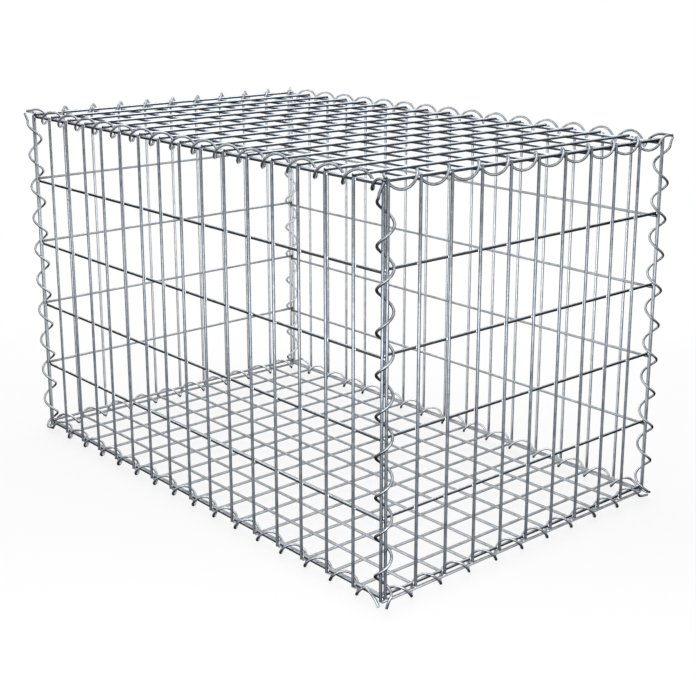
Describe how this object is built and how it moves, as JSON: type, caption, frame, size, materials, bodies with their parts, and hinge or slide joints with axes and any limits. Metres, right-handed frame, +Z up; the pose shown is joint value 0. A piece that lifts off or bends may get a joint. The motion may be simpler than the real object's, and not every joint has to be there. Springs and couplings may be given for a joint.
{
  "type": "gabion basket",
  "caption": "Rectangular welded wire mesh box, closed by a mesh lid and laced along every edge with spiral wires, to be filled with stone.",
  "frame": {"origin": "on the ground below the middle of the basket, at the height of the base spirals' undersides", "axes": "+X along the length towards the end wall on the right of the picture, +Y from the front wall to the back wall, +Z up through the lid"},
  "size_m": [0.8342, 0.5325, 0.5279],
  "materials": {
    "mesh_wire": "bright hot-dip galvanised, drawn wire, welded at each crossing",
    "spiral_wire": "bright galvanised spring wire, wound to a coil, ends cut plain"
  },
  "bodies": {
    "root": {"front_panel": "mesh_wire", "back_panel": "mesh_wire", "left_panel": "mesh_wire", "right_panel": "mesh_wire", "lid_panel": "mesh_wire", "base_panel": "mesh_wire", "front_right_post_spiral": "spiral_wire", "front_left_post_spiral": "spiral_wire", "back_right_post_spiral": "spiral_wire", "back_left_post_spiral": "spiral_wire", "front_lid_spiral": "spiral_wire", "back_lid_spiral": "spiral_wire", "right_lid_spiral": "spiral_wire", "left_lid_spiral": "spiral_wire", "front_base_spiral": "spiral_wire", "back_base_spiral": "spiral_wire", "right_base_spiral": "spiral_wire", "left_base_spiral": "spiral_wire"}
  },
  "joints": []
}
